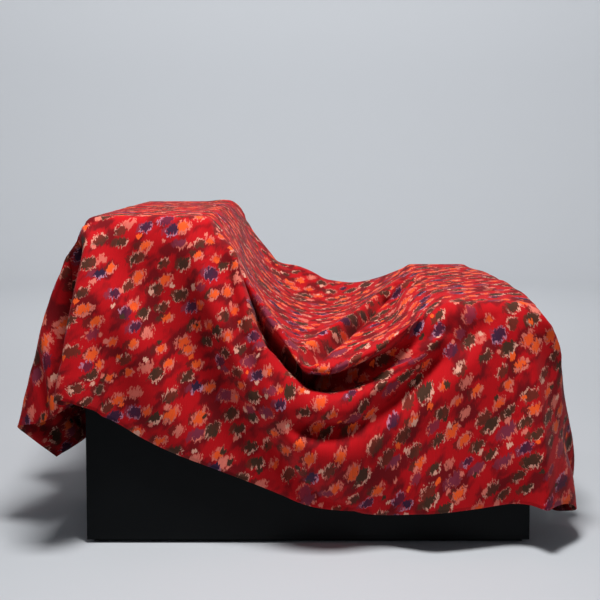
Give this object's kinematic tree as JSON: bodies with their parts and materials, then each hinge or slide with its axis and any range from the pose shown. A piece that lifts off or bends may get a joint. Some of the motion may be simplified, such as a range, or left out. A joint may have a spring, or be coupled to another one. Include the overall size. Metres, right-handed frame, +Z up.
{
  "type": "draped ikat cloth on display plinth",
  "caption": "Handwoven red ikat cloth draped loosely over a low black display plinth with a tall and a low riser, its corners hanging past the sides.",
  "frame": {"origin": "middle of the plinth's underside", "axes": "+X to the right along the plinth's length, +Y from the front to the back, +Z up"},
  "size_m": [0.8236, 0.6681, 0.4517],
  "materials": {
    "plinth_foot": "matte black painted board",
    "plinth_base": "smooth satin black painted board",
    "riser_left": "smooth satin black painted board",
    "riser_right": "smooth satin black painted board",
    "cloth": "handwoven cotton, red ground with small feathered ikat marks"
  },
  "bodies": {
    "root": {"plinth_foot": "plinth_foot", "plinth_base": "plinth_base", "riser_left": "riser_left", "riser_right": "riser_right", "cloth": "cloth"}
  },
  "joints": []
}
